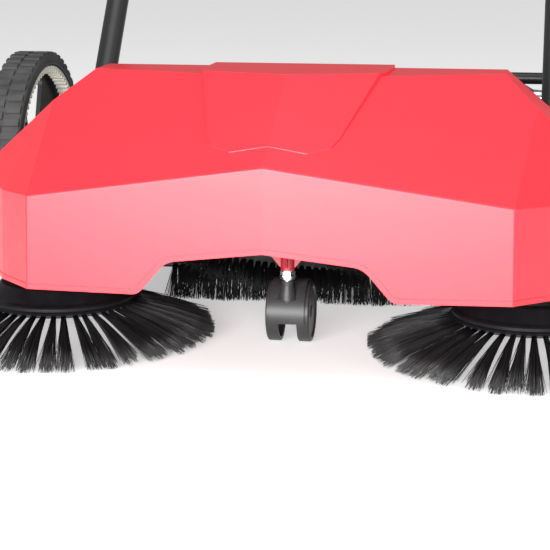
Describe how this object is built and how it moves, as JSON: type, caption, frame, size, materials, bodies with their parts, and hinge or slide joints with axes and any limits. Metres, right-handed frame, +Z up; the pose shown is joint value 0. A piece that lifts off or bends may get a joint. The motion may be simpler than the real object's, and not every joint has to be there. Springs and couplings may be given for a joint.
{
  "type": "walk behind sweeper",
  "caption": "Push sweeper with side brushes and a cross roller driven by its wheels, a front caster, a rear hopper and a folding handle.",
  "frame": {"origin": "floor point under the middle of the bounding box", "axes": "+X to the operator's left, +Y to the rear where the operator walks, +Z up"},
  "size_m": [0.8938, 0.9694, 0.9174],
  "materials": {
    "hood_red": "satin moulded red",
    "frame_red": "satin red paint",
    "steel": "bright zinc plate",
    "black_plastic": "fine moulded texture",
    "disc_plastic": "smooth dark grey",
    "bristle": "drawn nylon bristle",
    "rubber": "matt",
    "tyre": "moulded tread",
    "caster_grey": "smooth grey",
    "tube_paint": "black powder coat",
    "grip": "foam grip",
    "gear_plastic": "natural nylon"
  },
  "bodies": {
    "chassis": {"front_hood": "hood_red", "chassis_deck": "frame_red", "side_plate_left": "steel", "side_plate_right": "steel", "cross_bars": "steel", "wheel_axle": "steel", "roller_housing": "black_plastic", "rear_cover": "black_plastic", "roller_bearings": "steel", "spindle_housings": "black_plastic", "drive_hangers": "black_plastic", "drive_belt_left": "rubber", "drive_belt_right": "rubber", "hopper_mouth_seal": "rubber", "hopper_rails": "steel", "caster_stem": "steel", "caster_lock_nut": "steel", "frame_screws": "steel", "handle_pivot_bolts": "steel"},
    "wheel_left": {"wheel_rim_left": "black_plastic", "tyre_left": "tyre", "ring_gear_left": "gear_plastic", "wheel_bush_left": "gear_plastic", "hub_cap_left": "black_plastic"},
    "wheel_right": {"wheel_rim_right": "black_plastic", "tyre_right": "tyre", "ring_gear_right": "gear_plastic", "wheel_bush_right": "gear_plastic", "hub_cap_right": "black_plastic"},
    "pinion_left": {"drive_pinion_left": "gear_plastic"},
    "pinion_right": {"drive_pinion_right": "gear_plastic"},
    "roller": {"roller_shaft": "steel", "roller_core": "black_plastic", "roller_bristles": "bristle", "roller_pulleys": "gear_plastic"},
    "cross_drive_left": {"cross_shaft_left": "steel", "cross_pulley_left": "gear_plastic", "bevel_pinion_left": "gear_plastic"},
    "side_brush_left": {"brush_disc_left": "disc_plastic", "side_bristles_left": "bristle", "brush_spindle_left": "steel", "bevel_gear_left": "gear_plastic"},
    "cross_drive_right": {"cross_shaft_right": "steel", "cross_pulley_right": "gear_plastic", "bevel_pinion_right": "gear_plastic"},
    "side_brush_right": {"brush_disc_right": "disc_plastic", "side_bristles_right": "bristle", "brush_spindle_right": "steel", "bevel_gear_right": "gear_plastic"},
    "caster_fork": {"caster_housing": "caster_grey", "caster_axle": "steel"},
    "caster_wheel_left": {"caster_wheel_left": "caster_grey"},
    "caster_wheel_right": {"caster_wheel_right": "caster_grey"},
    "hopper": {"hopper_bin": "black_plastic"},
    "bail": {"hopper_bail": "tube_paint"},
    "handle": {"handle_legs": "tube_paint"},
    "handle_upper": {"handle_upper_tube": "tube_paint", "handle_grip": "grip"},
    "knob_left": {"clamp_knob_left": "black_plastic"},
    "knob_right": {"clamp_knob_right": "black_plastic"}
  },
  "joints": [
    {"name": "wheel_left_spin", "type": "hinge", "parent": "chassis", "child": "wheel_left", "pos_m": [0, -0.03753, 0.15], "axis": [1, 0, 0], "continuous": true},
    {"name": "wheel_right_spin", "type": "hinge", "parent": "chassis", "child": "wheel_right", "pos_m": [0, -0.03753, 0.15], "axis": [1, 0, 0], "continuous": true},
    {"name": "pinion_left_spin", "type": "hinge", "parent": "chassis", "child": "pinion_left", "pos_m": [0, -0.11008, 0.07], "axis": [1, 0, 0], "continuous": true},
    {"name": "pinion_right_spin", "type": "hinge", "parent": "chassis", "child": "pinion_right", "pos_m": [0, -0.11008, 0.07], "axis": [1, 0, 0], "continuous": true},
    {"name": "roller_spin", "type": "hinge", "parent": "chassis", "child": "roller", "pos_m": [0, -0.11008, 0.07], "axis": [1, 0, 0], "continuous": true},
    {"name": "cross_drive_left_spin", "type": "hinge", "parent": "chassis", "child": "cross_drive_left", "pos_m": [0, -0.30158, 0.098], "axis": [1, 0, 0], "continuous": true},
    {"name": "side_brush_left_spin", "type": "hinge", "parent": "chassis", "child": "side_brush_left", "pos_m": [0.2669, -0.30158, 0.045], "axis": [0, 0, 1], "continuous": true},
    {"name": "cross_drive_right_spin", "type": "hinge", "parent": "chassis", "child": "cross_drive_right", "pos_m": [0, -0.30158, 0.098], "axis": [1, 0, 0], "continuous": true},
    {"name": "side_brush_right_spin", "type": "hinge", "parent": "chassis", "child": "side_brush_right", "pos_m": [-0.2669, -0.30158, 0.045], "axis": [0, 0, 1], "continuous": true},
    {"name": "caster_swivel", "type": "hinge", "parent": "chassis", "child": "caster_fork", "pos_m": [0, -0.31808, 0.06], "axis": [0, 0, 1], "continuous": true},
    {"name": "caster_wheel_left_spin", "type": "hinge", "parent": "caster_fork", "child": "caster_wheel_left", "pos_m": [0, -0.29108, 0.034], "axis": [1, 0, 0], "continuous": true},
    {"name": "caster_wheel_right_spin", "type": "hinge", "parent": "caster_fork", "child": "caster_wheel_right", "pos_m": [0, -0.29108, 0.034], "axis": [1, 0, 0], "continuous": true},
    {"name": "hopper_slide", "type": "slide", "parent": "chassis", "child": "hopper", "axis": [0, 1, 0], "range_m": [0, 0.3]},
    {"name": "bail_lift", "type": "hinge", "parent": "hopper", "child": "bail", "pos_m": [0, 0.11692, 0.212], "axis": [1, 0, 0], "range_deg": [0, 80]},
    {"name": "handle_fold", "type": "hinge", "parent": "chassis", "child": "handle", "pos_m": [0, -0.07308, 0.208], "axis": [1, 0, 0], "range_deg": [0, 55]},
    {"name": "handle_height", "type": "slide", "parent": "handle", "child": "handle_upper", "axis": [0, 0.6157, 0.788], "range_m": [0, 0.08]},
    {"name": "knob_left_turn", "type": "hinge", "parent": "handle", "child": "knob_left", "pos_m": [0, 0.17811, 0.52951], "axis": [1, 0, 0], "range_deg": [0, 360]},
    {"name": "knob_right_turn", "type": "hinge", "parent": "handle", "child": "knob_right", "pos_m": [0, 0.17811, 0.52951], "axis": [-1, 0, 0], "range_deg": [0, 360]}
  ],
  "couplings": [
    {"joint": "pinion_left_spin", "follows": "wheel_left_spin", "ratio": 7},
    {"joint": "pinion_right_spin", "follows": "wheel_right_spin", "ratio": 7},
    {"joint": "roller_spin", "follows": "wheel_right_spin", "ratio": 7},
    {"joint": "cross_drive_left_spin", "follows": "wheel_right_spin", "ratio": 3.5},
    {"joint": "side_brush_left_spin", "follows": "wheel_right_spin", "ratio": -3.5},
    {"joint": "cross_drive_right_spin", "follows": "wheel_right_spin", "ratio": 3.5},
    {"joint": "side_brush_right_spin", "follows": "wheel_right_spin", "ratio": 3.5}
  ]
}
